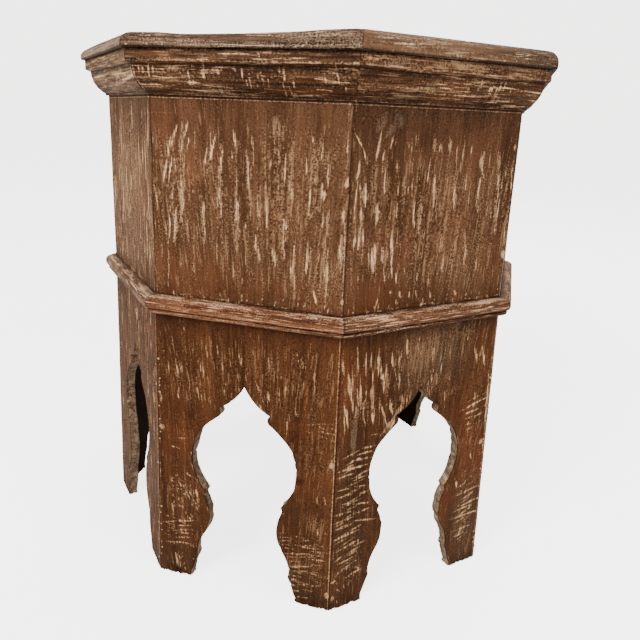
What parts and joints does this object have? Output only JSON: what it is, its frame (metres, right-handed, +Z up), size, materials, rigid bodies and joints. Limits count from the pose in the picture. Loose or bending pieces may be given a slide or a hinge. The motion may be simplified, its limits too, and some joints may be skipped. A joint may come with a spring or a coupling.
{
  "type": "octagonal accent table",
  "caption": "Octagonal side table with a moulded top, boarded case and pointed lobed arches between its legs.",
  "frame": {"origin": "middle of the feet, on the floor", "axes": "+Z up; -Y square to arch_board_1; the other sides follow every 45 degrees"},
  "size_m": [0.508, 0.508, 0.559],
  "materials": {
    "top_wood": "worn brown stain, rubbed pale on the rounded edge",
    "plank_wood": "worn brown stain with pale rubbed grain",
    "moulding_wood": "worn brown stain with pale horizontal grain",
    "upper_wood": "reddish brown stain with pale vertical scraping",
    "bead_wood": "lighter reddish brown, rubbed pale along the grain",
    "arch_wood": "reddish brown stain with pale scraping, bare greyish wood in the cut edges",
    "inner_wood": "unfinished wood",
    "screw_steel": "plain zinc"
  },
  "bodies": {
    "root": {"top_rim_1": "top_wood", "top_rim_2": "top_wood", "top_rim_3": "top_wood", "top_rim_4": "top_wood", "top_rim_5": "top_wood", "top_rim_6": "top_wood", "top_rim_7": "top_wood", "top_rim_8": "top_wood", "cornice_1": "moulding_wood", "cornice_2": "moulding_wood", "cornice_3": "moulding_wood", "cornice_4": "moulding_wood", "cornice_5": "moulding_wood", "cornice_6": "moulding_wood", "cornice_7": "moulding_wood", "cornice_8": "moulding_wood", "upper_board_1": "upper_wood", "upper_board_2": "upper_wood", "upper_board_3": "upper_wood", "upper_board_4": "upper_wood", "upper_board_5": "upper_wood", "upper_board_6": "upper_wood", "upper_board_7": "upper_wood", "upper_board_8": "upper_wood", "bead_1": "bead_wood", "bead_2": "bead_wood", "bead_3": "bead_wood", "bead_4": "bead_wood", "bead_5": "bead_wood", "bead_6": "bead_wood", "bead_7": "bead_wood", "bead_8": "bead_wood", "arch_board_1": "arch_wood", "arch_board_2": "arch_wood", "arch_board_3": "arch_wood", "arch_board_4": "arch_wood", "arch_board_5": "arch_wood", "arch_board_6": "arch_wood", "arch_board_7": "arch_wood", "arch_board_8": "arch_wood", "corner_block_1": "inner_wood", "corner_block_2": "inner_wood", "corner_block_3": "inner_wood", "corner_block_4": "inner_wood", "corner_block_5": "inner_wood", "corner_block_6": "inner_wood", "corner_block_7": "inner_wood", "corner_block_8": "inner_wood", "top_plank_1": "plank_wood", "top_plank_2": "plank_wood", "top_plank_3": "plank_wood", "top_plank_4": "plank_wood", "top_plank_5": "plank_wood", "top_batten_1": "inner_wood", "top_batten_2": "inner_wood", "batten_screws": "screw_steel"}
  },
  "joints": []
}
